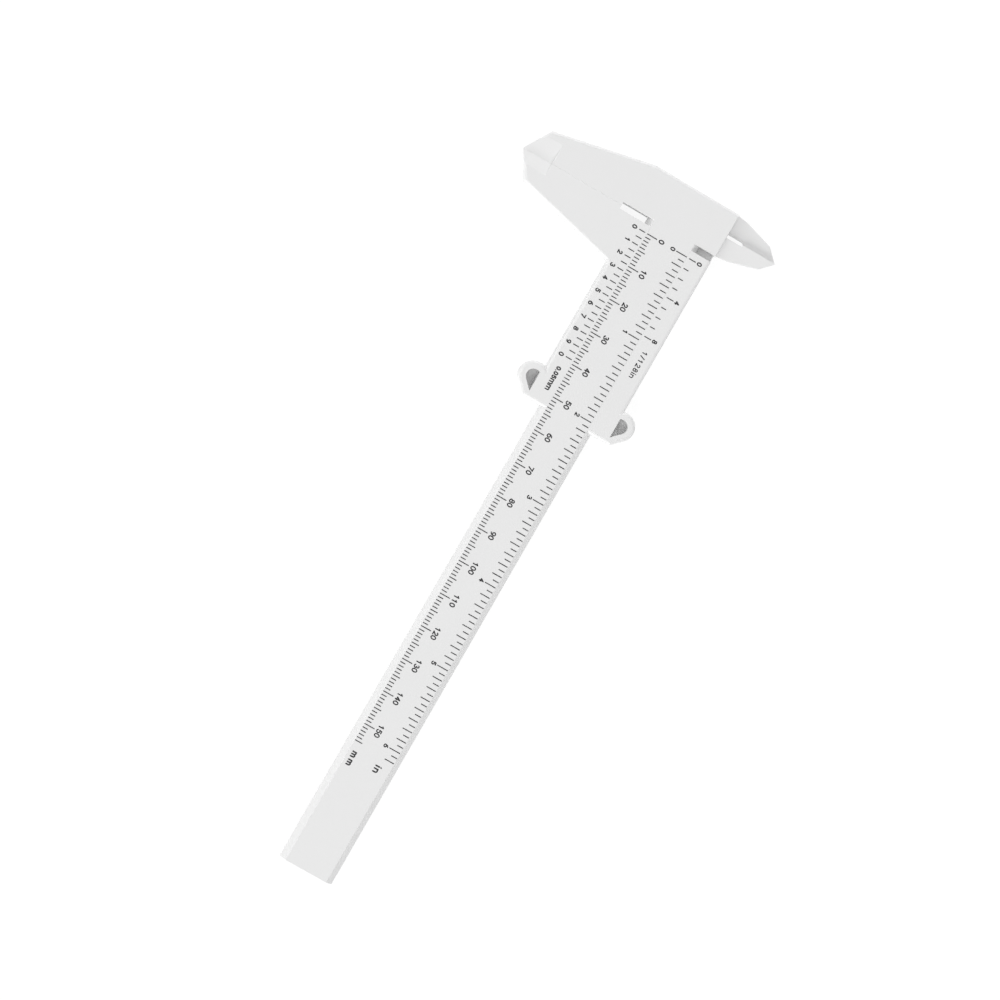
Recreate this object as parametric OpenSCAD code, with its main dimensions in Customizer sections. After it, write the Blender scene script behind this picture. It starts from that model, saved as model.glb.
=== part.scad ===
// Plastic vernier caliper with crossed inside blades, shut at zero and lying on its back.
// +X runs from the head to the tail of the beam, +Y towards the inside blades, +Z out of the scale face.
// The origin is the middle of the footprint, on the plane that the caliper rests on.
// Sizes along X are given from the zero plane, where the outside jaws meet, and sizes along Y from
// the centreline of the beam.

/* [Mouldings] */
// Thickness of the head, the jaws and the slider
body_thickness = 4.2; // [3.8:0.1:8]
// Centreline of the beam to the slider's upper edge, on the side of the inside blades
upper_edge = 12.5; // [11.5:0.1:17]
// Centreline of the beam to the slider's lower edge, on the side of the outside jaws
lower_edge = 11.7; // [11.5:0.1:17]
// Radius of the moulded outer edges on the scale face
front_radius = 1.0; // [0.2:0.1:1.2]
// Radius of the moulded outer edges on the back
back_radius = 0.5; // [0.2:0.1:0.8]
// Radius of the inward corner between the sliding jaw and the slider's edge
corner_radius = 0.6; // [0.3:0.1:3]
// Radius of the fine edges, on the blades and where the head steps down to them
fine_radius = 0.3; // [0.1:0.05:0.45]

/* [Beam] */
// Width of the beam across its back
beam_width = 15.8; // [14.5:0.1:18]
// Width of the flat scale face between the two bevels
face_width = 12.4; // [11.6:0.1:13.4]
// Height of the bevelled edges that the slider's lips hook over
bevel_height = 2.0; // [1:0.1:2.4]
// Bare length of the beam after the last graduation
tail_length = 36.9; // [15:0.1:80]

/* [Head] */
// Zero plane to the far edge of the head
head_length = 13.8; // [12.6:0.1:20]
// Width of the relief gap between the head and the slider, half on each side of the zero plane
relief_width = 2.0; // [1:0.1:3]
// Lower edge of the slider to the bottom of the relief gap
relief_drop = 4.1; // [1:0.1:8]
// How far the head plate stands above the slider's upper edge
head_rise = 0.3; // [0:0.1:1]

/* [Outside jaws] */
// Lower edge of the slider to the tips of the outside jaws
jaw_length = 34.3; // [26:0.1:80]
// Lower edge of the slider to the shoulder where the fixed jaw starts to taper
shoulder_drop = 1.5; // [0.1:0.1:6]
// Zero plane to the root of the sliding jaw, at the slider's lower edge
jaw_root = 14.6; // [10:0.05:30]
// Width of each jaw at the shoulder of its tip
tip_width = 7.6; // [4:0.1:9]
// Height of the slanted end of each jaw
tip_height = 4.5; // [1:0.1:8]
// Radius of the broken edge along each measuring face
face_radius = 0.12; // [0.05:0.01:0.3]

/* [Thinned jaw tips] */
// Length of the thinned part, measured from the tips
knife_length = 8.7; // [3:0.1:20]
// Width of the thinned facet on the fixed jaw
fixed_knife_width = 5.7; // [2:0.1:7]
// Width of the thinned facet on the sliding jaw
sliding_knife_width = 3.6; // [2:0.1:7]
// Depth of the facets at the measuring face, on each side
knife_depth = 1.4; // [0.4:0.1:1.7]

/* [Inside blades] */
// Zero plane of the outside jaws to the plane where the inside blades' edges meet
blade_offset = 7.4; // [6.4:0.05:8]
// Upper edge of the slider to the tips of the inside blades
blade_length = 15.5; // [13:0.5:40]
// Zero plane of the outside jaws to the near edge of the fixed blade's root
blade_root_gap = 0.8; // [0.2:0.05:1.2]
// Height of the blades' waist above the slider's upper edge
waist_height = 3.5; // [2:0.1:5]
// How far each blade narrows from its root to its waist
waist_inset = 0.5; // [0.1:0.1:1.5]
// Height of the blades' shoulder above the slider's upper edge
shoulder_height = 11.9; // [7:0.1:12.5]
// How far each blade narrows from its root to its shoulder
shoulder_inset = 2.95; // [1.6:0.05:4.5]
// Width of the relief slot between the roots of the blades
slot_width = 1.1; // [0.5:0.1:2]
// Length of the relief slot above the slider's upper edge, with its round end
slot_length = 5.4; // [2:0.1:8]
// Thickness of the sliding blade and of the arm that carries it behind the head
arm_thickness = 2.0; // [1.4:0.1:2.4]
// Thickness of the fixed blade
fixed_blade_thickness = 1.0; // [0.7:0.1:1.4]
// Clearance between the arm and the head plate in front of it
lap_gap = 0.2; // [0.1:0.05:0.4]
// Width of the ground bevel behind each blade's measuring edge
blade_bevel = 1.6; // [0.5:0.1:3]
// Thickness left at each blade's measuring edge
blade_edge = 0.5; // [0.3:0.05:0.65]

/* [Slider] */
// Zero plane to the tail end of the slider
slider_length = 56.7; // [50:0.1:90]
// Thickness of the slider's plate behind the beam
slider_back = 1.2; // [0.8:0.1:1.6]
// Sliding clearance between the slider and the back and sides of the beam
slide_gap = 0.1; // [0.05:0.01:0.3]
// Clearance between the slider's lips and the beam's bevels, on which they run with a light grip
lip_clearance = 0.02; // [0.02:0.01:0.2]

/* [Thumb ears] */
// Tail end of the slider to the centre of the ear's round
ear_setback = 5.75; // [5.2:0.05:8]
// Upper edge of the slider to the centre of the upper ear's round, which the lower ear mirrors
ear_offset = 0.9; // [0:0.1:3]
// Radius of the round side of the pocket
pocket_radius = 2.05; // [1.5:0.05:3]
// Width of the rim round the pocket
ear_rim = 2.1; // [1.3:0.1:3]
// Distance of the upper pocket's straight side inside the slider's upper edge
pocket_inset = 0.1; // [0:0.05:1]
// Depth of the pocket at its straight side
pocket_depth = 3.3; // [1.4:0.1:3.4]
// Rise of the scooped pocket floor from the straight side to the round side
pocket_rise = 1.0; // [0.2:0.1:1.2]

/* [Scales] */
// Zero plane to the zero graduations
zero_offset = 3.1; // [2:0.1:8]
// Length of the metric scale on the beam, in whole millimetres
scale_length = 155; // [120:1:200]
// Width of a printed line
line_width = 0.24; // [0.1:0.01:0.35]
// Thickness of the ink
ink_thickness = 0.03; // [0.01:0.01:0.1]
// Gap between the metric lines and the edge of the scale face
metric_edge_gap = 0.05; // [0:0.01:0.5]
// Length of a millimetre line
metric_short = 1.55; // [0.8:0.05:2.5]
// Length of a five millimetre line
metric_middle = 2.17; // [1:0.05:3]
// Length of a ten millimetre line
metric_long = 3.05; // [1.2:0.05:4]
// Gap between the inch lines and the edge of the scale face
inch_edge_gap = 0.1; // [0:0.01:0.5]
// Length of a sixteenth of an inch line
inch_short = 1.77; // [0.8:0.05:2.5]
// Length of an eighth of an inch line
inch_middle = 2.83; // [1:0.05:3]
// Length of a whole inch line
inch_long = 3.25; // [1.2:0.05:4]

/* [Verniers] */
// Divisions of the metric vernier
metric_vernier_parts = 20; // [10:1:20]
// Millimetres of the beam scale that the metric vernier spans
metric_vernier_span = 39; // [19:1:39]
// Gap between the metric vernier lines and the lip's edge
metric_vernier_gap = 0.55; // [0.1:0.05:1]
// Length of a metric vernier line
metric_vernier_line = 1.8; // [0.8:0.05:2.5]
// Divisions of the inch vernier
inch_vernier_parts = 8; // [4:1:8]
// Sixteenths of an inch that the inch vernier spans
inch_vernier_span = 15; // [7:1:15]
// Gap between the inch vernier lines and the lip's edge
inch_vernier_gap = 0.65; // [0.1:0.01:1]
// Length of an inch vernier line
inch_vernier_line = 1.5; // [0.8:0.05:2.5]
// Length of a numbered inch vernier line
inch_vernier_long = 2.05; // [0.8:0.05:3]

/* [Hidden] */
$fn = 64;

// How far a cut runs past the face that it opens
past = 1;
// How far one shape runs into the next, inside one moulding
bite = 3;
// How far the arc of a rounded edge stands proud of the faces that it joins
hair = 0.001;

beam_half = beam_width / 2;
face_half = face_width / 2;
relief_half = relief_width / 2;
beam_length = zero_offset + scale_length + tail_length;
beam_low = slider_back + slide_gap;
bevel_low = body_thickness - bevel_height;
bevel_width = beam_half - face_half;

channel_half = beam_half + slide_gap;
lip_gap = lip_clearance * norm([bevel_width, bevel_height]) / bevel_height;
lip_half = face_half + lip_gap;
lip_low = body_thickness - (channel_half - lip_half) * bevel_height / bevel_width;

head_edge = upper_edge + head_rise;
relief_depth = lower_edge + relief_drop;
jaw_reach = lower_edge + jaw_length;
jaw_shoulder = lower_edge + shoulder_drop;
tip_shoulder = jaw_reach - tip_height;
knife_start = jaw_reach - knife_length;
lap_low = arm_thickness + lap_gap;
blade_reach = upper_edge + blade_length;

ear_x = slider_length - ear_setback;
ear_y = upper_edge + ear_offset;
ear_radius = pocket_radius + ear_rim;
pocket_side = upper_edge - pocket_inset;

inch = 25.4;
inch_parts = 16;
inch_step = inch / inch_parts;
inch_count = round(scale_length / inch_step);

footprint_x = (beam_length - head_length) / 2;
footprint_y = (blade_reach - jaw_reach) / 2;

// Moves a shape from the zero plane and the centreline to the middle of the footprint.
module placed() {
    translate([-footprint_x, -footprint_y, 0]) children();
}

// Section of the waste outside a rounded edge: the plate's side is x = 0 and its face is y = 0. The arc
// stands proud of both by a hair, so that it crosses them instead of only touching them.
module edge_waste(radius, run_past = past) {
    centre = radius - hair;
    difference() {
        translate([-run_past, -radius]) square([run_past + radius, past + radius]);
        translate([centre, -centre]) circle(radius);
    }
}

// Above 0 where an outline that runs anticlockwise has an outward corner at b, and below 0 at an inward one.
function turn(a, b, c) = (b.x - a.x) * (c.y - b.y) - (b.y - a.y) * (c.x - b.x);

function unit(v) = v / norm(v);

// Half of the open angle at an inward corner.
function half_opening(a, b, c) = acos(unit(a - b) * unit(c - b)) / 2;

// Centre of the arc in an inward corner, and how far the arc reaches along the edges on both sides.
function arc_centre(a, b, c) =
    b + unit(unit(a - b) + unit(c - b)) * corner_radius / sin(half_opening(a, b, c));
function arc_reach(a, b, c) = corner_radius / tan(half_opening(a, b, c));

// How far the waste along an edge runs on at its corner b: past an outward corner, up to the arc in an
// inward one that has rounded edges, and no further than the corner otherwise.
function run_on(a, b, c, rounded) = turn(a, b, c) > 0 ? past : rounded ? -arc_reach(a, b, c) : 0;

// Fill of an inward corner, as an outline. Behind the corner it runs on into the plate.
module corner_fill(a, b, c) {
    centre = arc_centre(a, b, c);
    reach = arc_reach(a, b, c);
    difference() {
        polygon([b + unit(a - b) * reach, 2 * b - centre, b + unit(c - b) * reach, centre]);
        translate(centre) circle(corner_radius + hair);
    }
}

// Waste round the arc in an inward corner.
module corner_waste(a, b, c, radius) {
    centre = arc_centre(a, b, c);
    sweep = 180 - 2 * half_opening(a, b, c);
    translate([centre.x, centre.y, 0])
        rotate(atan2(b.y - centre.y, b.x - centre.x) - sweep / 2)
            rotate_extrude(angle = sweep)
                translate([corner_radius, 0]) edge_waste(radius, corner_radius / 2);
}

// Waste along the edges of an outline at z = 0. The outline runs anticlockwise, and radii holds one
// radius for each edge, with 0 for an edge that stays sharp. An inward corner between two rounded edges,
// which have the same radius, gets an arc.
module outline_waste(outline, radii) {
    count = len(outline);
    for (i = [0 : count - 1]) {
        before = outline[(i + count - 1) % count];
        start = outline[i];
        end = outline[(i + 1) % count];
        after = outline[(i + 2) % count];
        start_rounded = radii[(i + count - 1) % count] > 0;
        run_in = run_on(before, start, end, start_rounded);
        run_out = run_on(start, end, after, radii[(i + 1) % count] > 0);
        if (radii[i] > 0) {
            translate([start.x, start.y, 0])
                rotate(atan2(end.y - start.y, end.x - start.x))
                    translate([-run_in, 0, 0])
                        rotate([90, 0, 90])
                            linear_extrude(norm(end - start) + run_in + run_out) edge_waste(radii[i]);
            if (start_rounded && turn(before, start, end) < 0)
                corner_waste(before, start, end, radii[i]);
        }
    }
}

// Flat plate with rounded edges on its front and back faces.
module moulded_plate(outline, low, high, front, back) {
    count = len(outline);
    difference() {
        translate([0, 0, low]) linear_extrude(high - low) union() {
            polygon(outline);
            for (i = [0 : count - 1]) {
                before = outline[(i + count - 1) % count];
                after = outline[(i + 1) % count];
                rounded = front[(i + count - 1) % count] > 0 && front[i] > 0;
                if (rounded && turn(before, outline[i], after) < 0) corner_fill(before, outline[i], after);
            }
        }
        translate([0, 0, high]) outline_waste(outline, front);
        translate([0, 0, low]) mirror([0, 0, 1]) outline_waste(outline, back);
    }
}

// Waste that thins a jaw's tip towards the zero plane, on the face at z = 0.
module knife_waste(width) {
    reach = past / width * knife_depth;
    translate([0, -knife_start, 0])
        rotate([90, 0, 0])
            linear_extrude(knife_length + past)
                polygon([[-width, 0], [past, -knife_depth - reach], [past, past], [-width, past]]);
}

// The same waste on the front and the back of a jaw. side is -1 for the fixed jaw, 1 for the sliding one.
module tip_waste(width, side) {
    mirror([side > 0 ? 1 : 0, 0, 0]) {
        translate([0, 0, body_thickness]) knife_waste(width);
        mirror([0, 0, 1]) knife_waste(width);
    }
}

// Outer side of an inside blade, from its tip to its root. root is the place of the root along X, and
// inward is 1 where the blade narrows towards the tail and -1 where it narrows towards the head.
function blade_side(root, inward) = [
    [-blade_offset, blade_reach],
    [root + inward * shoulder_inset, upper_edge + shoulder_height],
    [root + inward * waist_inset, upper_edge + waist_height],
    [root, upper_edge]
];

function backwards(points) = [for (i = [len(points) - 1 : -1 : 0]) points[i]];

// Relief slot at the blades' roots, open to both sides of a blade.
module slot_waste() {
    straight = slot_length - slot_width / 2;
    translate([-blade_offset, upper_edge, -past]) linear_extrude(body_thickness + 2 * past) {
        translate([-slot_width / 2, 0]) square([slot_width, straight]);
        translate([0, straight]) circle(slot_width / 2);
    }
}

// Ground bevel behind a blade's measuring edge. side points from the blades' plane into the blade.
module blade_bevel_waste(low, high, side) {
    translate([-blade_offset, blade_reach + past, 0])
        rotate([90, 0, 0])
            linear_extrude(blade_reach + past - upper_edge)
                polygon([
                    [-side * past, low - past],
                    [-side * past, high - blade_edge],
                    [0, high - blade_edge],
                    [side * blade_bevel, low],
                    [side * blade_bevel, low - past]
                ]);
}

module beam_bar() {
    section = [
        [-beam_half, beam_low],
        [beam_half, beam_low],
        [beam_half, bevel_low],
        [face_half, body_thickness],
        [-face_half, body_thickness],
        [-beam_half, bevel_low]
    ];
    translate([-relief_half - bite, 0, 0])
        rotate([90, 0, 90]) linear_extrude(beam_length + relief_half + bite) polygon(section);
}

module fixed_head() {
    outline = [
        [0, -jaw_reach],
        [0, -relief_depth],
        [-relief_half, -relief_depth],
        [-relief_half, head_edge],
        [-head_length, head_edge],
        [-head_length, -jaw_shoulder],
        [-tip_width, -tip_shoulder]
    ];
    front = [face_radius, 0, 0, fine_radius, front_radius, front_radius, front_radius];
    back = [face_radius, 0, 0, 0, back_radius, back_radius, back_radius];
    difference() {
        moulded_plate(outline, 0, body_thickness, front, back);
        tip_waste(fixed_knife_width, -1);
        translate([-head_length - past, beam_half, -past])
            cube([head_length + 2 * past, head_edge - beam_half + past, lap_low + past]);
    }
}

module fixed_blade() {
    outline = concat(
        [[-blade_offset, upper_edge - bite], [-relief_half, upper_edge - bite], [-relief_half, upper_edge]],
        backwards(blade_side(-blade_root_gap, -1))
    );
    high = lap_low + fixed_blade_thickness;
    front = [0, 0, 0, fine_radius, fine_radius, fine_radius, 0];
    difference() {
        moulded_plate(outline, lap_low, high, front, [for (r = front) 0]);
        slot_waste();
        blade_bevel_waste(lap_low, high, 1);
    }
}

module beam() {
    color("whitesmoke") placed() union() {
        beam_bar();
        fixed_head();
        fixed_blade();
    }
}

// Space that the beam runs in, with the sliding clearance on every side.
module channel_waste() {
    section = [
        [-channel_half, slider_back],
        [channel_half, slider_back],
        [channel_half, lip_low],
        [lip_half, body_thickness],
        [lip_half, body_thickness + past],
        [-lip_half, body_thickness + past],
        [-lip_half, body_thickness],
        [-channel_half, lip_low]
    ];
    rotate([90, 0, 90]) linear_extrude(slider_length + past) polygon(section);
}

module slider_body() {
    outline = [
        [0, -jaw_reach],
        [tip_width, -tip_shoulder],
        [jaw_root, -lower_edge],
        [slider_length, -lower_edge],
        [slider_length, upper_edge],
        [relief_half, upper_edge],
        [relief_half, -relief_depth],
        [0, -relief_depth]
    ];
    front = [front_radius, front_radius, front_radius, front_radius, front_radius, 0, 0, face_radius];
    back = [back_radius, back_radius, back_radius, back_radius, back_radius, 0, 0, face_radius];
    difference() {
        moulded_plate(outline, 0, body_thickness, front, back);
        tip_waste(sliding_knife_width, 1);
    }
}

// Arm behind the head plate, with the sliding inside blade at its end.
module blade_arm() {
    outline = concat(
        [
            [-head_length, channel_half],
            [relief_half + bite, channel_half],
            [relief_half + bite, upper_edge],
            [-blade_offset, upper_edge]
        ],
        blade_side(-head_length, 1)
    );
    front = [0, 0, fine_radius, 0, fine_radius, fine_radius, fine_radius, fine_radius];
    back = [0, 0, fine_radius, 0, fine_radius, fine_radius, fine_radius, fine_radius];
    difference() {
        moulded_plate(outline, 0, arm_thickness, front, back);
        slot_waste();
        blade_bevel_waste(0, arm_thickness, -1);
    }
}

// Round of an ear: a disc with the slider's own rounded edges.
module ear_disc() {
    translate([ear_x, ear_y, 0]) rotate_extrude() difference() {
        square([ear_radius, body_thickness]);
        translate([ear_radius, body_thickness]) mirror([1, 0]) edge_waste(front_radius);
        translate([ear_radius, 0]) mirror([1, 0]) mirror([0, 1]) edge_waste(back_radius);
    }
}

// Slanted side of an ear, from its round to the tail end of the slider.
module ear_slant() {
    tangent = ear_radius / sqrt(2);
    outline = [
        [ear_x, upper_edge - bite],
        [slider_length, upper_edge - bite],
        [slider_length, ear_x + ear_y + 2 * tangent - slider_length],
        [ear_x + tangent, ear_y + tangent],
        [ear_x, ear_y]
    ];
    front = [0, front_radius, front_radius, 0, 0];
    back = [0, back_radius, back_radius, 0, 0];
    moulded_plate(outline, 0, body_thickness, front, back);
}

// Pocket of an ear: round on one side, slanted on the next, straight along the slider, with a
// scooped floor that is deepest at the straight side.
module pocket_waste() {
    tangent = pocket_radius / sqrt(2);
    floor_run = ear_y + pocket_radius - pocket_side;
    room = 3 * ear_radius;
    intersection() {
        linear_extrude(body_thickness + past) difference() {
            union() {
                translate([ear_x, ear_y]) circle(pocket_radius);
                polygon([
                    [ear_x, pocket_side],
                    [ear_x + ear_y + 2 * tangent - pocket_side, pocket_side],
                    [ear_x + tangent, ear_y + tangent],
                    [ear_x, ear_y]
                ]);
            }
            translate([ear_x - ear_radius, pocket_side - ear_radius]) square([room, ear_radius]);
        }
        translate([ear_x - ear_radius, pocket_side, body_thickness - pocket_depth])
            rotate([atan2(pocket_rise, floor_run), 0, 0])
                translate([0, -past, 0]) cube([room, room, 2 * body_thickness]);
    }
}

module slider() {
    color("whitesmoke") placed() union() {
        difference() {
            union() {
                slider_body();
                for (side = [0, 1]) mirror([0, side, 0]) {
                    ear_disc();
                    ear_slant();
                }
            }
            channel_waste();
            for (side = [0, 1]) mirror([0, side, 0]) pocket_waste();
        }
        blade_arm();
    }
}

// One printed line across the beam at x, from y to y + length.
module printed_line(x, y, length) {
    translate([x - line_width / 2, y, body_thickness]) cube([line_width, length, ink_thickness]);
}

module beam_metric_scale() {
    color("dimgray") placed() for (mm = [0 : scale_length]) {
        length = mm % 10 == 0 ? metric_long : mm % 5 == 0 ? metric_middle : metric_short;
        printed_line(zero_offset + mm, metric_edge_gap - face_half, length);
    }
}

module beam_inch_scale() {
    color("dimgray") placed() for (part = [0 : inch_count]) {
        length = part % inch_parts == 0 ? inch_long : part % 2 == 0 ? inch_middle : inch_short;
        printed_line(zero_offset + part * inch_step, face_half - inch_edge_gap - length, length);
    }
}

module vernier_metric_scale() {
    step = metric_vernier_span / metric_vernier_parts;
    color("dimgray") placed() for (part = [0 : metric_vernier_parts])
        printed_line(
            zero_offset + part * step, -lip_half - metric_vernier_gap - metric_vernier_line, metric_vernier_line
        );
}

module vernier_inch_scale() {
    step = inch_vernier_span * inch_step / inch_vernier_parts;
    color("dimgray") placed() for (part = [0 : inch_vernier_parts]) {
        length = part % 4 == 0 ? inch_vernier_long : inch_vernier_line;
        printed_line(zero_offset + part * step, lip_half + inch_vernier_gap, length);
    }
}

beam();
slider();
beam_metric_scale();
beam_inch_scale();
vernier_metric_scale();
vernier_inch_scale();
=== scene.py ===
"""Dresses a plastic vernier caliper: satin moulded plastic, printed scales, figures and unit legends.

Places are in metres, in the caliper's own frame: +X runs from the head to the tail of the beam,
+Y towards the inside blades and +Z out of the scale face. Sizes are in metres too, apart from those
that a comment or a docstring gives in millimetres.
"""

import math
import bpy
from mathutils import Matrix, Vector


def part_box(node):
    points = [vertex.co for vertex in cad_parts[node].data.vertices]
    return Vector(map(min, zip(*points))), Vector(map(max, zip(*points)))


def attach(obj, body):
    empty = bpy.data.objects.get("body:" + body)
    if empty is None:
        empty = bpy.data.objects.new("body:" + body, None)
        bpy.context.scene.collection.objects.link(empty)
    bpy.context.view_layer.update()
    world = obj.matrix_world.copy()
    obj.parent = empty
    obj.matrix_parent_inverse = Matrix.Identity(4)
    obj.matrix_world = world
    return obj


bl_info = {
    "name": "Vernier caliper finish",
    "version": (1, 0, 0),
    "blender": (4, 5, 0),
    "location": "3D View > Sidebar > Caliper",
    "description": "Finishes the mouldings, prints the figures and lights a plastic vernier caliper",
    "category": "Object",
}

import bmesh
import bpy
import numpy as np
from bpy.props import FloatProperty, FloatVectorProperty, PointerProperty
from mathutils import Matrix, Vector

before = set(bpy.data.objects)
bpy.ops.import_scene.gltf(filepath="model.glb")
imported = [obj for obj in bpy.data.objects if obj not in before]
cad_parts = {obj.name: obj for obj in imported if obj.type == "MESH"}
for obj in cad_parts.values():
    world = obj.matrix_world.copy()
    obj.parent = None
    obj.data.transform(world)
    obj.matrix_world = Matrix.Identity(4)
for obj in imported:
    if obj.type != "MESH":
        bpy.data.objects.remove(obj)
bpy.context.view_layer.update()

MM = 0.001
MOULDINGS = ("beam", "slider")
METRIC_SCALE = "beam_metric_scale"
INCH_SCALE = "beam_inch_scale"
METRIC_VERNIER = "vernier_metric_scale"
INCH_VERNIER = "vernier_inch_scale"
PRINTED_SCALES = (METRIC_SCALE, INCH_SCALE, METRIC_VERNIER, INCH_VERNIER)
SCALE_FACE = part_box("beam")[1].z
INK_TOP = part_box(METRIC_SCALE)[1].z
INK_MATERIAL = "printed_black_ink"


class CaliperFinish(bpy.types.PropertyGroup):
    """Colours and surface of the plastic and the ink"""

    plastic: FloatVectorProperty(
        name="Plastic", description="Colour of the mouldings", subtype="COLOR",
        default=(0.82, 0.82, 0.82), min=0, max=1,
    )
    plastic_roughness: FloatProperty(
        name="Plastic roughness", description="Roughness of the satin mouldings", default=0.42, min=0, max=1,
    )
    grain_size: FloatProperty(
        name="Grain", description="Size of the moulded surface's grain", subtype="DISTANCE", unit="LENGTH",
        default=0.28 * MM, min=0.05 * MM, max=5 * MM,
    )
    grain_depth: FloatProperty(
        name="Grain depth", description="Depth of the moulded surface's grain", subtype="DISTANCE",
        unit="LENGTH", default=0.003 * MM, min=0, max=0.1 * MM,
    )
    ink: FloatVectorProperty(
        name="Ink", description="Colour of the printed lines and figures", subtype="COLOR",
        default=(0.03, 0.03, 0.032), min=0, max=1,
    )
    ink_roughness: FloatProperty(
        name="Ink roughness", description="Roughness of the matte ink", default=0.55, min=0, max=1,
    )


class CaliperLettering(bpy.types.PropertyGroup):
    """Sizes of the printed figures and legends"""

    stroke: FloatProperty(
        name="Stroke", description="Width of a figure's printed stroke", subtype="DISTANCE", unit="LENGTH",
        default=0.33 * MM, min=0.05 * MM, max=1 * MM,
    )
    metric_height: FloatProperty(
        name="Metric height", description="Height of the figures along the metric scale",
        subtype="DISTANCE", unit="LENGTH", default=1.65 * MM, min=0.5 * MM, max=4 * MM,
    )
    metric_gap: FloatProperty(
        name="Metric gap", description="Gap between the graduations and the figures along the metric scale",
        subtype="DISTANCE", unit="LENGTH", default=0.57 * MM, min=0, max=2 * MM,
    )
    inch_height: FloatProperty(
        name="Inch height", description="Height of the figures along the inch scale",
        subtype="DISTANCE", unit="LENGTH", default=1.45 * MM, min=0.5 * MM, max=4 * MM,
    )
    inch_gap: FloatProperty(
        name="Inch gap", description="Gap between the graduations and the figures along the inch scale",
        subtype="DISTANCE", unit="LENGTH", default=0.3 * MM, min=0, max=2 * MM,
    )
    metric_vernier_height: FloatProperty(
        name="Metric vernier height", description="Height of the figures along the metric vernier",
        subtype="DISTANCE", unit="LENGTH", default=1.5 * MM, min=0.5 * MM, max=4 * MM,
    )
    metric_vernier_gap: FloatProperty(
        name="Metric vernier gap",
        description="Gap between the graduations and the figures along the metric vernier",
        subtype="DISTANCE", unit="LENGTH", default=0.66 * MM, min=0, max=2 * MM,
    )
    inch_vernier_height: FloatProperty(
        name="Inch vernier height", description="Height of the figures along the inch vernier",
        subtype="DISTANCE", unit="LENGTH", default=1.5 * MM, min=0.5 * MM, max=4 * MM,
    )
    inch_vernier_gap: FloatProperty(
        name="Inch vernier gap",
        description="Gap between the graduations and the figures along the inch vernier",
        subtype="DISTANCE", unit="LENGTH", default=0.37 * MM, min=0, max=2 * MM,
    )
    figure_gap: FloatProperty(
        name="Figure gap", description="Gap between neighbouring figures, from the middles of their strokes",
        subtype="DISTANCE", unit="LENGTH", default=0.36 * MM, min=0, max=2 * MM,
    )


class CaliperStage(bpy.types.PropertyGroup):
    """View and light"""

    distance: FloatProperty(
        name="Distance", description="Distance of the camera", subtype="DISTANCE", unit="LENGTH",
        default=0.784, min=0.1, max=5,
    )
    view_width: FloatProperty(
        name="View width", description="Width that the camera sees at the scale face",
        subtype="DISTANCE", unit="LENGTH", default=0.2654, min=0.05, max=2,
    )
    tilt: FloatProperty(
        name="Tilt", description="Lean of the camera towards the outside jaws", subtype="ANGLE",
        default=math.radians(5.8), min=-1.5, max=1.5,
    )
    turn: FloatProperty(
        name="Turn", description="Turn of the beam in the picture", subtype="ANGLE",
        default=math.radians(120), min=-math.pi, max=math.pi,
    )
    centre: FloatVectorProperty(
        name="Centre", description="Point in the middle of the picture", subtype="XYZ", unit="LENGTH",
        default=(-6.79 * MM, 4.36 * MM, SCALE_FACE),
    )
    sky: FloatProperty(
        name="Sky", description="Strength of the even light", default=0.31, min=0, max=5,
    )
    jaw_side: FloatProperty(
        name="Jaw side", description="Watts of the softbox on the outside jaws' side", default=24.0,
        min=0, max=500,
    )
    blade_side: FloatProperty(
        name="Blade side", description="Watts of the softbox on the inside blades' side", default=7.0,
        min=0, max=500,
    )
    head_end: FloatProperty(
        name="Head end", description="Watts of the softbox beyond the head", default=39.5, min=0, max=500,
    )
    tail_end: FloatProperty(
        name="Tail end", description="Watts of the softbox beyond the tail", default=56.0, min=0, max=500,
    )
    light_height: FloatProperty(
        name="Light height", description="Angle of the softboxes above the floor", subtype="ANGLE",
        default=math.radians(25), min=0.1, max=1.5,
    )
    light_distance: FloatProperty(
        name="Light distance", description="Distance of the softboxes", subtype="DISTANCE", unit="LENGTH",
        default=2.6, min=0.3, max=10,
    )
    light_size: FloatProperty(
        name="Light size", description="Width of each square softbox", subtype="DISTANCE", unit="LENGTH",
        default=1.8, min=0.05, max=5,
    )


class Wire:
    """A value in a shader that works in Python sums: Wire + 1, 1 - Wire, Wire * Wire and so on."""

    def __init__(self, shader, socket):
        self.shader = shader
        self.socket = socket

    def __add__(self, other):
        return self.shader.maths("ADD", self, other)

    def __sub__(self, other):
        return self.shader.maths("SUBTRACT", self, other)

    def __rsub__(self, other):
        return self.shader.maths("SUBTRACT", other, self)

    def __mul__(self, other):
        return self.shader.maths("MULTIPLY", self, other)

    __radd__ = __add__
    __rmul__ = __mul__


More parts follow.
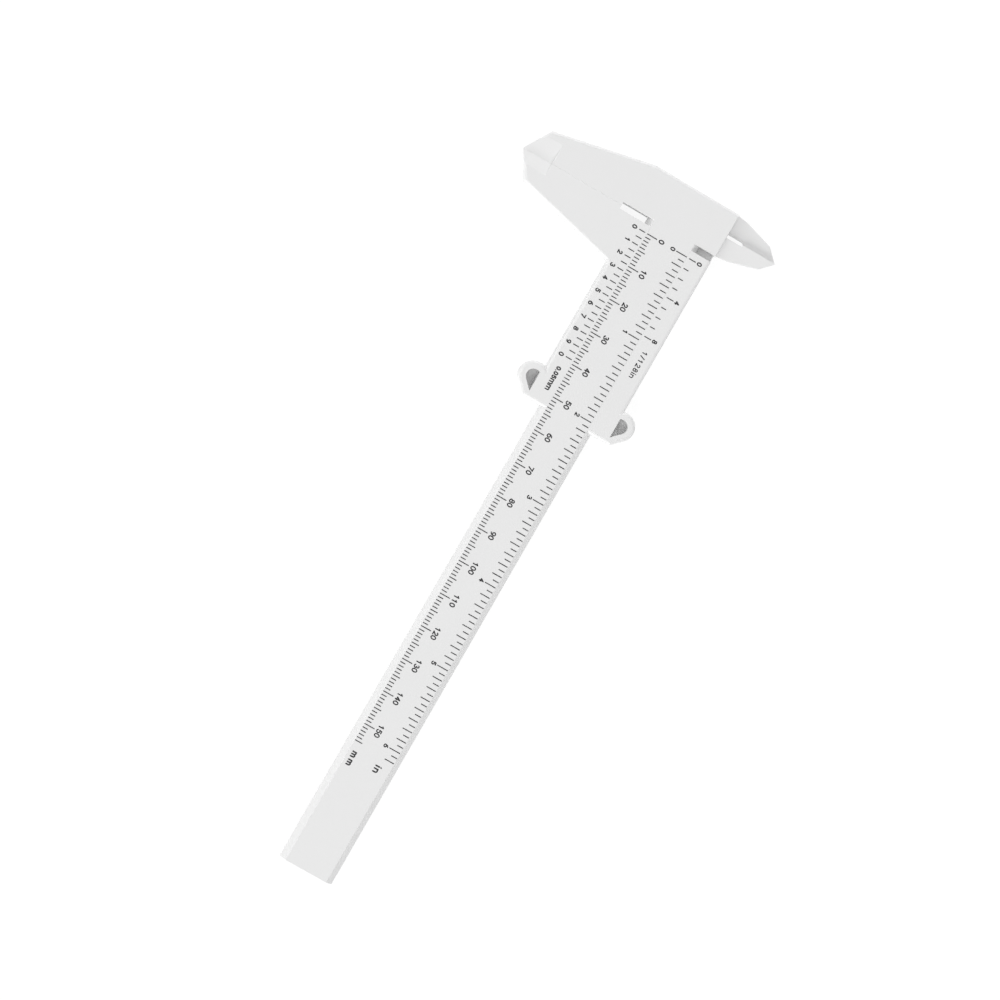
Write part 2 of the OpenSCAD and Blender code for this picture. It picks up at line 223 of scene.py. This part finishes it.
class Shader:
    """The nodes of one material or world."""

    def __init__(self, tree):
        self.tree = tree
        tree.nodes.clear()

    def node(self, kind, settings=None, **values):
        """Adds a node, sets its settings and then the values or links of its input sockets.

        A socket is named by its own name in small letters, with _ for a space. Where two share a name,
        it is the first.
        """
        node = self.tree.nodes.new(kind)
        for name, value in (settings or {}).items():
            setattr(node, name, value)
        sockets = {s.name.lower().replace(" ", "_"): s for s in reversed(node.inputs) if s.enabled}
        for name, value in values.items():
            self.feed(sockets[name], value)
        return node

    def feed(self, socket, value):
        """Links a Wire to a socket, or sets the socket's own value."""
        if isinstance(value, Wire):
            self.tree.links.new(value.socket, socket)
        else:
            socket.default_value = value

    def wire(self, node, output=0):
        """The Wire from one of a node's outputs, given by its name or its place."""
        return Wire(self, node.outputs[output])

    def maths(self, operation, first, second):
        """One operation on two values or Wires."""
        node = self.node("ShaderNodeMath", {"operation": operation})
        self.feed(node.inputs[0], first)
        self.feed(node.inputs[1], second)
        return self.wire(node)

    def place(self, stretch):
        """Object coordinates in millimetres, divided by stretch along each axis."""
        coordinates = self.wire(self.node("ShaderNodeTexCoord"), "Object")
        scale = [1 / (MM * s) for s in stretch]
        return self.wire(self.node("ShaderNodeMapping", vector=coordinates, scale=scale))

    def noise(self, size, detail, stretch=(1, 1, 1)):
        """Even noise from 0 to 1 with patches of that size in millimetres."""
        values = {"vector": self.place(stretch), "scale": 1 / size, "detail": detail}
        return self.wire(self.node("ShaderNodeTexNoise", **values))

    def tint(self, colour, lightness):
        """A colour made lighter or darker by a value round 1."""
        return self.wire(
            self.node("ShaderNodeVectorMath", {"operation": "SCALE"}, vector=colour, scale=lightness)
        )

    def rays(self, *kinds):
        """1 for rays of the kinds named, such as Is Camera Ray, and 0 for all others."""
        paths = self.node("ShaderNodeLightPath")
        found = self.wire(paths, kinds[0])
        for kind in kinds[1:]:
            found = self.maths("MAXIMUM", found, self.wire(paths, kind))
        return found

    def coat(self, colour, tone, roughness, height):
        """Ends a material in a surface of a colour times tone, with that roughness and height in metres."""
        bump = self.node("ShaderNodeBump", strength=1.0, distance=1.0, height=height)
        surface = self.node(
            "ShaderNodeBsdfPrincipled", base_color=self.tint(colour, tone), roughness=roughness,
            normal=self.wire(bump),
        )
        self.node("ShaderNodeOutputMaterial", surface=self.wire(surface))


def new_material(name):
    material = bpy.data.materials.new(name)
    material.use_nodes = True
    return material, Shader(material.node_tree)


# Middle of a noise, which is taken off where the noise works both ways.
NOISE_MIDDLE = 0.5
# Sizes of the plastic's patterns in millimetres, and how many times longer than wide its rub marks are.
CLOUD_SIZE = 18.0
WAVE_SIZE = 7.0
POLISH_SIZE = 2.4
RUB_WIDTH = 0.35
RUB_STRETCH = 60
# Range through which each pattern takes the plastic's lightness or its roughness.
CLOUD_TONE = 0.03
GRAIN_TONE = 0.02
POLISH_ROUGHNESS = 0.14
RUB_ROUGHNESS = 0.12
# Heights of the waves and of the rub marks, in depths of the grain.
WAVE_HEIGHT = 4
RUB_HEIGHT = 0.6


def satin_plastic(finish):
    """White moulded plastic: fine grain, slow waves from cooling, and rub marks along the beam.

    Its lightness drifts in wide clouds, and its polish in small patches.
    """
    material, shader = new_material("satin_white_plastic")
    cloud = shader.noise(CLOUD_SIZE, detail=3) - NOISE_MIDDLE
    grain = shader.noise(finish.grain_size / MM, detail=2)
    wave = shader.noise(WAVE_SIZE, detail=1)
    rub = shader.noise(RUB_WIDTH, detail=3, stretch=(RUB_STRETCH, 1, 1)) - NOISE_MIDDLE
    polish = shader.noise(POLISH_SIZE, detail=2) - NOISE_MIDDLE

    tone = 1 + cloud * CLOUD_TONE + (grain - NOISE_MIDDLE) * GRAIN_TONE
    roughness = finish.plastic_roughness + polish * POLISH_ROUGHNESS + rub * RUB_ROUGHNESS
    depth = finish.grain_depth
    height = grain * depth + wave * (WAVE_HEIGHT * depth) + rub * (RUB_HEIGHT * depth)
    shader.coat(finish.plastic, tone, roughness, height)
    return material


# Sizes of the ink's patterns in millimetres, the ranges through which they take its lightness and its
# roughness, and the height of its specks in metres.
INK_PATCH_SIZE = 0.9
INK_SPECK_SIZE = 0.09
INK_PATCH_TONE = 0.5
INK_SPECK_TONE = 0.7
INK_PATCH_ROUGHNESS = 0.2
INK_SPECK_ROUGHNESS = 0.15
INK_SPECK_HEIGHT = 0.002 * MM


def printed_ink(finish):
    """Thin matte ink, a little uneven in depth of colour."""
    material, shader = new_material(INK_MATERIAL)
    patch = shader.noise(INK_PATCH_SIZE, detail=3) - NOISE_MIDDLE
    speck = shader.noise(INK_SPECK_SIZE, detail=1) - NOISE_MIDDLE
    tone = 1 + patch * INK_PATCH_TONE + speck * INK_SPECK_TONE
    roughness = finish.ink_roughness + patch * INK_PATCH_ROUGHNESS + speck * INK_SPECK_ROUGHNESS
    shader.coat(finish.ink, tone, roughness, speck * INK_SPECK_HEIGHT)
    return material


# Grey of the floor for the light that it throws back on the caliper.
FLOOR_GREY = 0.88
# To the camera the floor glows almost white, and a darker grey adds the rest and takes the shadow.
FLOOR_GLOW = 0.89
FLOOR_SHADOW_GREY = 0.16


def grey(level):
    return (level, level, level, 1)


def pale_floor():
    """Floor that shows white to the camera and still takes a faint shadow."""
    material, shader = new_material("pale_floor")
    matte = shader.node("ShaderNodeBsdfDiffuse", color=grey(FLOOR_GREY))
    shaded = shader.node("ShaderNodeBsdfDiffuse", color=grey(FLOOR_SHADOW_GREY))
    glow = shader.node("ShaderNodeEmission", color=grey(1), strength=FLOOR_GLOW)
    lit = shader.node("ShaderNodeAddShader")
    shader.feed(lit.inputs[0], shader.wire(shaded))
    shader.feed(lit.inputs[1], shader.wire(glow))
    blend = shader.node("ShaderNodeMixShader")
    shader.feed(blend.inputs[0], shader.rays("Is Camera Ray", "Is Glossy Ray", "Is Transmission Ray"))
    shader.feed(blend.inputs[1], shader.wire(matte))
    shader.feed(blend.inputs[2], shader.wire(lit))
    shader.node("ShaderNodeOutputMaterial", surface=shader.wire(blend))
    return material


# An arc has this many points, and one more for each step in degrees.
ARC_POINTS = 3
ARC_STEP = 12


def line(x0, y0, x1, y1):
    """Straight stroke between two points, as points with x and y."""
    return np.array(((x0, y0), (x1, y1)), float)


def arc(x, y, across, up, start, end):
    """Stroke along an ellipse: x + across cos a, y + up sin a, for a from start to end in degrees."""
    points = ARC_POINTS + round(abs(end - start) / ARC_STEP)
    angle = np.radians(np.linspace(start, end, points))
    return np.column_stack((x + across * np.cos(angle), y + up * np.sin(angle)))


# Width of a figure and its half, and width of an arch of the letter m.
FIGURE = 0.64
MID = FIGURE / 2
ARCH = 0.7
# Strokes of the 6, which turned half round are those of the 9.
SIX = (arc(MID, 0.31, MID, 0.31, 0, 360), arc(0.52, 0.31, 0.52, 0.69, 180, 98))
# Width and strokes of each character, all measured between the middles of strokes. Figures are 1 high, and
# so is the body of each letter.
GLYPHS = {
    "0": (FIGURE, (arc(MID, 0.5, MID, 0.5, 0, 360),)),
    "1": (FIGURE, (line(MID, 0, MID, 1), line(MID, 1, 0.07, 0.74))),
    "2": (
        FIGURE,
        (arc(MID, 0.71, 0.27, 0.29, 165, -35), line(0.541, 0.544, 0, 0), line(0, 0, FIGURE, 0)),
    ),
    "3": (FIGURE, (arc(MID - 0.02, 0.75, 0.25, 0.25, 150, -85), arc(MID, 0.26, MID, 0.26, 85, -155))),
    "4": (FIGURE, (line(0.47, 1, 0, 0.28), line(0, 0.28, FIGURE, 0.28), line(0.47, 1, 0.47, 0))),
    "5": (
        FIGURE,
        (line(0.57, 1, 0.1, 1), line(0.1, 1, 0.06, 0.53), arc(MID - 0.01, 0.32, 0.32, 0.32, 140, -150)),
    ),
    "6": (FIGURE, SIX),
    "7": (FIGURE, (line(0, 1, FIGURE, 1), line(FIGURE, 1, 0.18, 0))),
    "8": (FIGURE, (arc(MID, 0.75, 0.25, 0.25, 0, 360), arc(MID, 0.26, MID, 0.26, 0, 360))),
    "9": (FIGURE, tuple(np.array((FIGURE, 1)) - stroke for stroke in SIX)),
    ".": (0.0, (line(0, 0, 0, 0.02),)),
    "/": (0.4, (line(0, -0.05, 0.4, 1.05),)),
    "i": (0.0, (line(0, 0, 0, 1), line(0, 1.46, 0, 1.48))),
    "m": (
        2 * ARCH,
        (
            line(0, 0, 0, 1),
            line(ARCH, 0, ARCH, 0.72),
            line(2 * ARCH, 0, 2 * ARCH, 0.72),
            arc(ARCH / 2, 0.72, ARCH / 2, 0.28, 180, 0),
            arc(1.5 * ARCH, 0.72, ARCH / 2, 0.28, 180, 0),
        ),
    ),
    "n": (0.84, (line(0, 0, 0, 1), line(0.84, 0, 0.84, 0.62), arc(0.42, 0.62, 0.42, 0.38, 180, 0))),
}
LETTERS = "imn"
# Points across a printed stroke, and steps from a stroke's end to the tip of its round cap.
SECTION_POINTS = 9
CAP_STEPS = 4


def ink_bead(path, width, low, high):
    """Vertices and faces of ink laid along a path.

    At each point of the path stands a half round section: half the width times cos a across, and
    (high - low) times the root of sin a upwards, for a from 0 to 180 degrees. A path whose ends meet is a
    ring. An open one ends in round caps, where the section runs on by sin b half widths for b from 0 to
    90 degrees, and shrinks as cos b across and as its root upwards.
    """
    ring = np.allclose(path[0], path[-1])
    points = path[:-1] if ring else path
    along = np.roll(points, -1, 0) - np.roll(points, 1, 0) if ring else np.gradient(points, axis=0)
    along = along / np.linalg.norm(along, axis=1, keepdims=True)
    size = np.ones(len(points))
    if not ring:
        bend = np.radians(np.linspace(0, 90, CAP_STEPS + 1))[1:]
        reach = (np.sin(bend) * width / 2)[:, None]
        points = np.concatenate((points[0] - along[0] * reach[::-1], points, points[-1] + along[-1] * reach))
        size = np.concatenate((np.cos(bend)[::-1], size, np.cos(bend)))
        along = np.pad(along, ((CAP_STEPS, CAP_STEPS), (0, 0)), mode="edge")
    side = np.column_stack((-along[:, 1], along[:, 0]))
    turn = np.radians(np.linspace(0, 180, SECTION_POINTS))
    offset = np.cos(turn) * width / 2 * size[:, None]
    spread = points[:, None] + side[:, None] * offset[..., None]
    rise = low + (high - low) * np.sqrt(np.abs(np.sin(turn))) * np.sqrt(size)[:, None]
    vertices = np.concatenate((spread, rise[..., None]), axis=2)
    rows, columns = vertices.shape[:2]
    row = np.arange(rows if ring else rows - 1)[:, None]
    column = np.arange(columns)[None, :]
    next_row = (row + 1) % rows
    next_column = (column + 1) % columns
    corners = [
        row * columns + column,
        row * columns + next_column,
        next_row * columns + next_column,
        next_row * columns + column,
    ]
    faces = np.stack(np.broadcast_arrays(*corners), axis=-1).reshape(-1, 4)
    return vertices.reshape(-1, 3), faces


def written(text, centre, height, letter_height, gap, stroke):
    """Paths of a line of text with its figures round centre.

    Both heights are to the outsides of the strokes, and the gap is between the middles of strokes.
    A space is one more gap.
    """
    paths, start = [], 0.0
    for character in text:
        if character == " ":
            start += gap
            continue
        width, strokes = GLYPHS[character]
        size = (letter_height if character in LETTERS else height) - stroke
        paths += [np.array((start, 0)) + s * size for s in strokes]
        start += width * size + gap
    middle = np.array(((start - gap) / 2, (height - stroke) / 2))
    return [p - middle + np.array(centre) for p in paths]


# Vertices that are nearer than this are merged.
WELD = 1e-5 * MM
# Faces that meet at a sharper turn than this keep a sharp edge.
SHARP_TURN = math.radians(50)


def add_mesh(name, vertices, faces, material):
    """New object at the origin from arrays of vertices and of faces with four corners."""
    mesh = bpy.data.meshes.new(name)
    mesh.from_pydata(vertices, [], faces.tolist())
    shaped = bmesh.new()
    shaped.from_mesh(mesh)
    bmesh.ops.remove_doubles(shaped, verts=shaped.verts, dist=WELD)
    bmesh.ops.dissolve_degenerate(shaped, edges=shaped.edges, dist=WELD)
    bmesh.ops.recalc_face_normals(shaped, faces=shaped.faces)
    shaped.to_mesh(mesh)
    shaped.free()
    mesh.materials.append(material)
    mesh.polygons.foreach_set("use_smooth", np.ones(len(mesh.polygons), bool))
    mesh.set_sharp_from_angle(angle=SHARP_TURN)
    thing = bpy.data.objects.new(name, mesh)
    bpy.context.scene.collection.objects.link(thing)
    return thing


def print_paths(name, paths, stroke, body):
    """Prints strokes on the scale face as one piece, which rides on a body."""
    beads = [ink_bead(path, stroke, SCALE_FACE, INK_TOP) for path in paths]
    starts = np.cumsum([0] + [len(vertices) for vertices, _ in beads])
    vertices = np.concatenate([vertices for vertices, _ in beads])
    faces = np.concatenate([faces + start for (_, faces), start in zip(beads, starts)])
    piece = add_mesh(name, vertices, faces, bpy.data.materials[INK_MATERIAL])
    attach(piece, body)


def graduations(node):
    """Middle, low end and high end of each printed line of a scale, sorted along the beam.

    Each line is a box, so all its vertices lie at two places along the beam, its two sides.
    """
    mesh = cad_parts[node].data
    places = np.zeros(len(mesh.vertices) * 3)
    mesh.vertices.foreach_get("co", places)
    places = places.reshape(-1, 3)
    sides = np.unique(places[:, 0].round(6))
    middles = sides.reshape(-1, 2).mean(1)
    owner = np.abs(places[:, :1] - middles[None]).argmin(1)
    low, high = np.full(len(middles), np.inf), np.full(len(middles), -np.inf)
    np.minimum.at(low, owner, places[:, 1])
    np.maximum.at(high, owner, places[:, 1])
    return middles, low, high


class CALIPER_OT_mouldings(bpy.types.Operator):
    """Give the beam and the slider their plastic"""

    bl_idname = "caliper.mouldings"
    bl_label = "Finish the mouldings"

    def execute(self, context):
        plastic = satin_plastic(context.scene.caliper_finish)
        for name in MOULDINGS:
            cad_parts[name].material_slots[0].material = plastic
        return {"FINISHED"}


class CALIPER_OT_graduations(bpy.types.Operator):
    """Give the printed lines of the four scales their ink"""

    bl_idname = "caliper.graduations"
    bl_label = "Ink the graduations"

    def execute(self, context):
        ink = printed_ink(context.scene.caliper_finish)
        for name in PRINTED_SCALES:
            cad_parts[name].material_slots[0].material = ink
        return {"FINISHED"}


class CALIPER_OT_figures(bpy.types.Operator):
    """Print the plain numbers beside their graduations"""

    bl_idname = "caliper.figures"
    bl_label = "Print the figures"

    def execute(self, context):
        sizes = context.scene.caliper_lettering
        # Scale, its body, lines from one figure to the next, what each figure adds, the side of the lines
        # that the figures stand on, +Y or -Y, and the figures' height and gap.
        rows = (
            (METRIC_SCALE, "beam", 10, 10, 1, sizes.metric_height, sizes.metric_gap),
            (INCH_SCALE, "beam", 16, 1, -1, sizes.inch_height, sizes.inch_gap),
            (METRIC_VERNIER, "slider", 2, 1, -1, sizes.metric_vernier_height, sizes.metric_vernier_gap),
            (INCH_VERNIER, "slider", 4, 4, 1, sizes.inch_vernier_height, sizes.inch_vernier_gap),
        )
        for scale, body, every, worth, above, height, gap in rows:
            middles, low, high = graduations(scale)
            paths = []
            for place, number in enumerate(range(0, len(middles), every)):
                value = place * worth
                # The metric vernier counts tenths, and its last figure is 0 again.
                if scale == METRIC_VERNIER:
                    value = value % 10
                edge = high[number] if above > 0 else low[number]
                centre = (middles[number], edge + above * (gap + height / 2))
                paths += written(str(value), centre, height, height, sizes.figure_gap, sizes.stroke)
            print_paths(scale.replace("scale", "figures"), paths, sizes.stroke, body)
        return {"FINISHED"}


class CALIPER_OT_legends(bpy.types.Operator):
    """Print the units of the scales and the steps of the verniers"""

    bl_idname = "caliper.legends"
    bl_label = "Print the units"

    def execute(self, context):
        zero = graduations(METRIC_SCALE)[0][0]
        middle = (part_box("beam_metric_scale")[0].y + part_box("beam_inch_scale")[1].y) / 2
        # Piece, its body and its text, and then in millimetres: the middle of the text, along the beam from
        # the zero line and across it from midway between the beam's scales, the height of its figures and
        # of its letters, the gap between characters and the width of a stroke.
        legends = (
            ("metric_unit", "beam", "m m", 159.8, -4.55, 1.4, 1.4, 0.51, 0.42),
            ("inch_unit", "beam", "in", 159.05, 2.65, 1.5, 1.5, 0.8, 0.42),
            ("metric_vernier_step", "slider", "0.05mm", 45.7, -8.6, 1.38, 1.28, 0.41, 0.34),
            ("inch_vernier_step", "slider", "1/128in", 31.25, 9.35, 1.5, 1.15, 0.545, 0.26),
        )
        for name, body, text, x, y, height, letter_height, gap, stroke in legends:
            centre = (zero + x * MM, middle + y * MM)
            paths = written(text, centre, height * MM, letter_height * MM, gap * MM, stroke * MM)
            print_paths(name, paths, stroke * MM, body)
        return {"FINISHED"}


# Nearest and farthest that the camera sees, in metres.
CLIP_START = 0.01
CLIP_END = 20.0
FLOOR_HALF_WIDTH = 4.0
# The floor lies this much below the rest face, so that no two faces share a plane.
FLOOR_GAP = 0.02 * MM


def set_camera(scene, stage):
    """Camera that leans round the beam by tilt, with the beam turned by turn in its picture."""
    lens = bpy.data.cameras.new("camera")
    lens.lens = lens.sensor_width * stage.distance / stage.view_width
    lens.clip_start = CLIP_START
    lens.clip_end = CLIP_END
    camera = bpy.data.objects.new("camera", lens)
    scene.collection.objects.link(camera)
    back = Vector((0, -math.sin(stage.tilt), math.cos(stage.tilt)))
    along = Vector((1, 0, 0))
    across = back.cross(along)
    right = along * math.cos(stage.turn) + across * math.sin(stage.turn)
    up = back.cross(right)
    turn = Matrix((right, up, back)).transposed().to_4x4()
    camera.matrix_world = Matrix.Translation(Vector(stage.centre) + back * stage.distance) @ turn
    scene.camera = camera


def set_light(scene, stage, name, power, bearing):
    """Soft light that faces the caliper from a bearing, measured from +X towards +Y."""
    across = math.cos(stage.light_height)
    out = Vector((across * math.cos(bearing), across * math.sin(bearing), math.sin(stage.light_height)))
    lamp = bpy.data.lights.new(name, "AREA")
    lamp.energy = power
    lamp.size = stage.light_size
    light = bpy.data.objects.new(name, lamp)
    light.location = out * stage.light_distance
    light.rotation_euler = (-out).to_track_quat("-Z", "Y").to_euler()
    scene.collection.objects.link(light)


def set_sky(scene, strength):
    """Even light of that strength, which the camera sees as white."""
    world = bpy.data.worlds.new("sky")
    scene.world = world
    world.use_nodes = True
    shader = Shader(world.node_tree)
    seen = shader.rays("Is Camera Ray", "Is Transmission Ray")
    level = strength + seen * (1 - strength)
    glow = shader.node("ShaderNodeBackground", color=grey(1), strength=level)
    shader.node("ShaderNodeOutputWorld", surface=shader.wire(glow))


def set_floor():
    """Square floor just under the rest face."""
    corners = np.array([(-1, -1), (1, -1), (1, 1), (-1, 1)]) * FLOOR_HALF_WIDTH
    corners = np.column_stack((corners, np.full(4, -FLOOR_GAP)))
    floor = add_mesh("floor", corners, np.array([[0, 1, 2, 3]]), pale_floor())


class CALIPER_OT_stage(bpy.types.Operator):
    """Set the camera, the soft lights, the sky and the floor"""

    bl_idname = "caliper.stage"
    bl_label = "Set the stage"

    def execute(self, context):
        scene = context.scene
        stage = scene.caliper_stage
        scene.view_settings.view_transform = "Standard"
        set_camera(scene, stage)
        # Softbox, its watts and its bearing in degrees.
        softboxes = (
            ("jaw_side_softbox", stage.jaw_side, -90),
            ("blade_side_softbox", stage.blade_side, 90),
            ("head_end_softbox", stage.head_end, 180),
            ("tail_end_softbox", stage.tail_end, 0),
        )
        for name, power, bearing in softboxes:
            set_light(scene, stage, name, power, math.radians(bearing))
        set_sky(scene, stage.sky)
        set_floor()
        return {"FINISHED"}


class CALIPER_PT_panel(bpy.types.Panel):
    """Lists the caliper's settings and steps in the sidebar"""

    bl_label = "Caliper"
    bl_space_type = "VIEW_3D"
    bl_region_type = "UI"
    bl_category = "Caliper"

    def draw(self, context):
        for group in ("caliper_finish", "caliper_lettering", "caliper_stage"):
            settings = getattr(context.scene, group)
            column = self.layout.column()
            for name in settings.__annotations__:
                column.prop(settings, name)
        for step in STEPS:
            self.layout.operator(step.bl_idname)


STEPS = (
    CALIPER_OT_mouldings,
    CALIPER_OT_graduations,
    CALIPER_OT_figures,
    CALIPER_OT_legends,
    CALIPER_OT_stage,
)
CLASSES = (CaliperFinish, CaliperLettering, CaliperStage, *STEPS, CALIPER_PT_panel)


def register():
    for each in CLASSES:
        bpy.utils.register_class(each)
    bpy.types.Scene.caliper_finish = PointerProperty(type=CaliperFinish)
    bpy.types.Scene.caliper_lettering = PointerProperty(type=CaliperLettering)
    bpy.types.Scene.caliper_stage = PointerProperty(type=CaliperStage)


def unregister():
    del bpy.types.Scene.caliper_stage
    del bpy.types.Scene.caliper_lettering
    del bpy.types.Scene.caliper_finish
    for each in reversed(CLASSES):
        bpy.utils.unregister_class(each)


def main():
    """Dresses the caliper and sets the stage."""
    register()
    bpy.ops.caliper.mouldings()
    bpy.ops.caliper.graduations()
    bpy.ops.caliper.figures()
    bpy.ops.caliper.legends()
    bpy.ops.caliper.stage()


if __name__ == "__main__":
    main()
